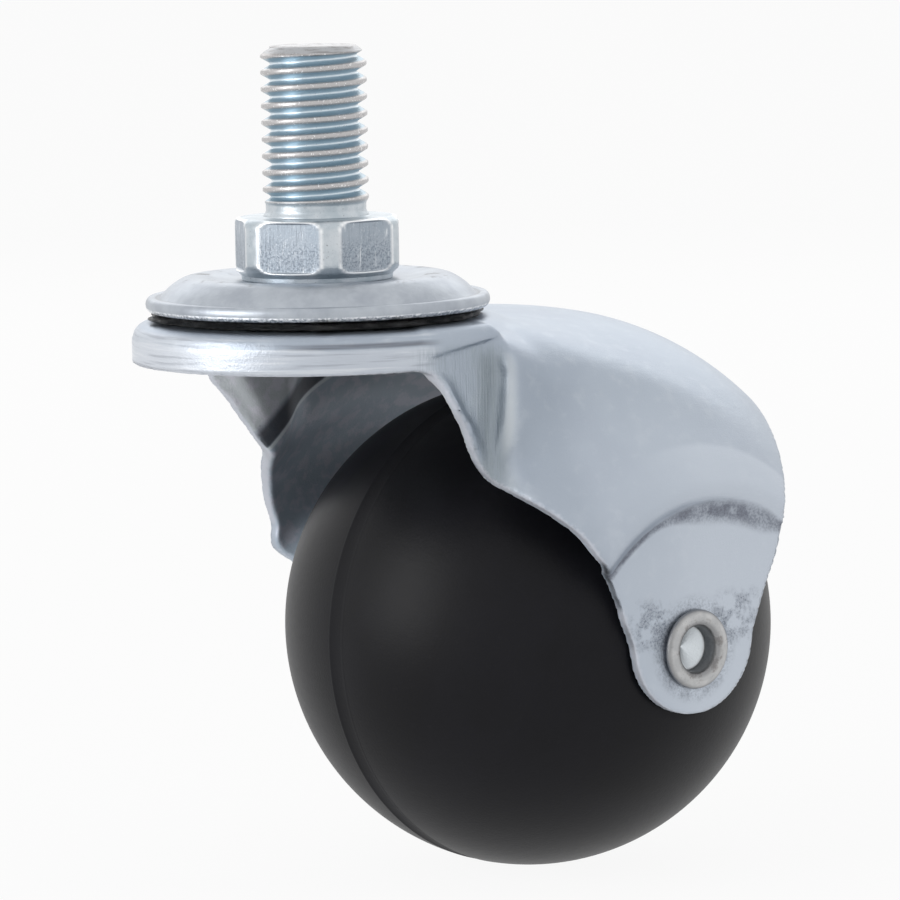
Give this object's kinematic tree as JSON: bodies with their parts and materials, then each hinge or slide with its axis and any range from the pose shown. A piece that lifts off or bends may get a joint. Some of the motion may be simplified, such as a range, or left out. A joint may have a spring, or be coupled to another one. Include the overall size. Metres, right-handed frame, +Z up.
{
  "type": "hooded swivel ball caster with threaded stem",
  "caption": "Furniture ball caster: a threaded stem and swivel cap over a pressed hood that carries a moulded ball wheel on an axle rivet.",
  "frame": {"origin": "centre of the collar's top face, on the swivel axis, where the stem's thread starts", "axes": "+Z up the stem, +X from the stem back to the wheel, Y along the wheel's axle"},
  "size_m": [0.0531, 0.042, 0.0647],
  "materials": {
    "stem_zinc": "bright zinc plate on forged steel, worn warm grey on the thread's crests",
    "cap_zinc": "bright zinc plate on pressed sheet steel",
    "hood_zinc": "blue-white zinc plate on deep-drawn sheet steel, satin, with draw marks",
    "race_steel": "zinc-plated pressed steel under a film of grease",
    "bearing_steel": "polished hardened steel balls",
    "rivet_zinc": "dull zinc plate with a satin grain",
    "wheel_polymer": "black moulded polymer with a fine satin surface",
    "grease": "black bearing grease, wet and glossy"
  },
  "bodies": {
    "stem": {"threaded_stem": "stem_zinc", "swivel_cap": "cap_zinc", "lower_race": "race_steel"},
    "hood": {"hood": "hood_zinc", "axle_rivet": "rivet_zinc"},
    "wheel": {"ball_wheel": "wheel_polymer"},
    "upper_ring": {"upper_ball_1": "bearing_steel", "upper_ball_2": "bearing_steel", "upper_ball_3": "bearing_steel", "upper_ball_4": "bearing_steel", "upper_ball_5": "bearing_steel", "upper_ball_6": "bearing_steel", "upper_ball_7": "bearing_steel", "upper_ball_8": "bearing_steel", "upper_ball_9": "bearing_steel", "upper_ball_10": "bearing_steel", "upper_ball_11": "bearing_steel", "upper_ball_12": "bearing_steel", "upper_ball_13": "bearing_steel", "upper_ball_14": "bearing_steel", "upper_ball_15": "bearing_steel", "upper_ball_16": "bearing_steel", "upper_ball_17": "bearing_steel", "upper_ball_18": "bearing_steel", "upper_ball_19": "bearing_steel", "upper_ball_20": "bearing_steel"},
    "lower_ring": {"lower_ball_1": "bearing_steel", "lower_ball_2": "bearing_steel", "lower_ball_3": "bearing_steel", "lower_ball_4": "bearing_steel", "lower_ball_5": "bearing_steel", "lower_ball_6": "bearing_steel", "lower_ball_7": "bearing_steel", "lower_ball_8": "bearing_steel", "lower_ball_9": "bearing_steel", "lower_ball_10": "bearing_steel", "lower_ball_11": "bearing_steel", "lower_ball_12": "bearing_steel"}
  },
  "joints": [
    {"name": "swivel", "type": "hinge", "parent": "stem", "child": "hood", "pos_m": [0, 0, 0], "axis": [0, 0, 1], "continuous": true},
    {"name": "upper_ring_roll", "type": "hinge", "parent": "stem", "child": "upper_ring", "pos_m": [0, 0, 0], "axis": [0, 0, 1], "continuous": true},
    {"name": "lower_ring_roll", "type": "hinge", "parent": "stem", "child": "lower_ring", "pos_m": [0, 0, 0], "axis": [0, 0, 1], "continuous": true},
    {"name": "wheel_spin", "type": "hinge", "parent": "hood", "child": "wheel", "pos_m": [0.02, 0, -0.0329], "axis": [0, 1, 0], "continuous": true}
  ],
  "couplings": [
    {"joint": "upper_ring_roll", "follows": "swivel", "ratio": 0.5},
    {"joint": "lower_ring_roll", "follows": "swivel", "ratio": 0.5}
  ]
}
